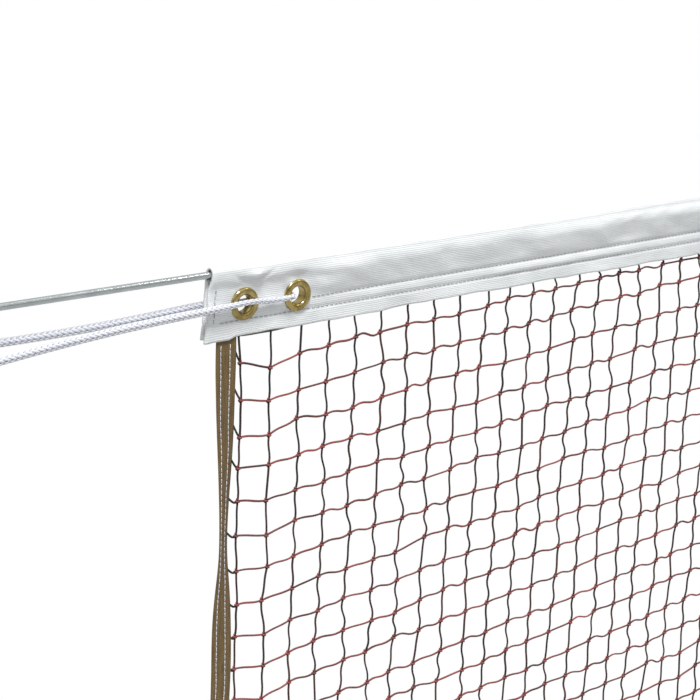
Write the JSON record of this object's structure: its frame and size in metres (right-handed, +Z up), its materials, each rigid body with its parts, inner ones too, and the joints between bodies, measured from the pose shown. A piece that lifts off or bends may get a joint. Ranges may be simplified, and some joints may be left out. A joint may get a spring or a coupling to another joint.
{
  "type": "badminton net",
  "caption": "Hanging badminton net: white headband on a steel cable, brass grommets with doubled tie ropes, brown-taped knotted netting.",
  "frame": {"origin": "inside the steel cable and 2.8 mm below the headband's top edge, at the middle of the net's length", "axes": "+X along the cable to the right-hand end as seen from the front, +Z up, -Y towards the front"},
  "size_m": [6.4526, 0.026, 0.7653],
  "materials": {
    "white_tape": "ribbed vinyl-coated polyester tape, fine ribs along its length, soft satin",
    "brown_tape": "olive-brown woven webbing, matt",
    "netting_twine": "twisted maroon-brown twine, waxy, knots redder",
    "tie_rope": "white braided cord with a cool grey shade between its strands",
    "stitching": "white polyester lockstitch thread",
    "brass": "rolled brass, polished with dull edges",
    "steel": "clear-coated galvanised cable, satin grey"
  },
  "bodies": {
    "post_lines": {"steel_cable": "steel", "left_ferrule": "steel", "left_thimble": "steel", "left_front_knot": "tie_rope", "left_back_knot": "tie_rope", "right_ferrule": "steel", "right_thimble": "steel", "right_front_knot": "tie_rope", "right_back_knot": "tie_rope"},
    "headband": {"headband": "white_tape", "headband_upper_needle_thread": "stitching", "headband_upper_bobbin_thread": "stitching", "headband_lower_needle_thread": "stitching", "headband_lower_bobbin_thread": "stitching", "left_outer_grommet": "brass", "left_outer_washer": "brass", "left_inner_grommet": "brass", "left_inner_washer": "brass", "left_rope_front": "tie_rope", "left_rope_back": "tie_rope", "left_rope_turn": "tie_rope", "right_outer_grommet": "brass", "right_outer_washer": "brass", "right_inner_grommet": "brass", "right_inner_washer": "brass", "right_rope_front": "tie_rope", "right_rope_back": "tie_rope", "right_rope_turn": "tie_rope"},
    "netting": {"netting": "netting_twine", "bottom_tape": "brown_tape", "bottom_tape_outer_thread": "stitching", "bottom_tape_inner_thread": "stitching", "left_side_tape": "brown_tape", "left_side_tape_outer_thread": "stitching", "left_side_tape_inner_thread": "stitching", "right_side_tape": "brown_tape", "right_side_tape_outer_thread": "stitching", "right_side_tape_inner_thread": "stitching"}
  },
  "joints": [
    {"name": "headband_turn", "type": "hinge", "parent": "post_lines", "child": "headband", "pos_m": [0, 0, -0.0009], "axis": [1, 0, 0], "range_deg": [-30, 30]},
    {"name": "netting_swing", "type": "hinge", "parent": "headband", "child": "netting", "pos_m": [0, 0, -0.0375], "axis": [1, 0, 0], "range_deg": [-45, 45]}
  ]
}
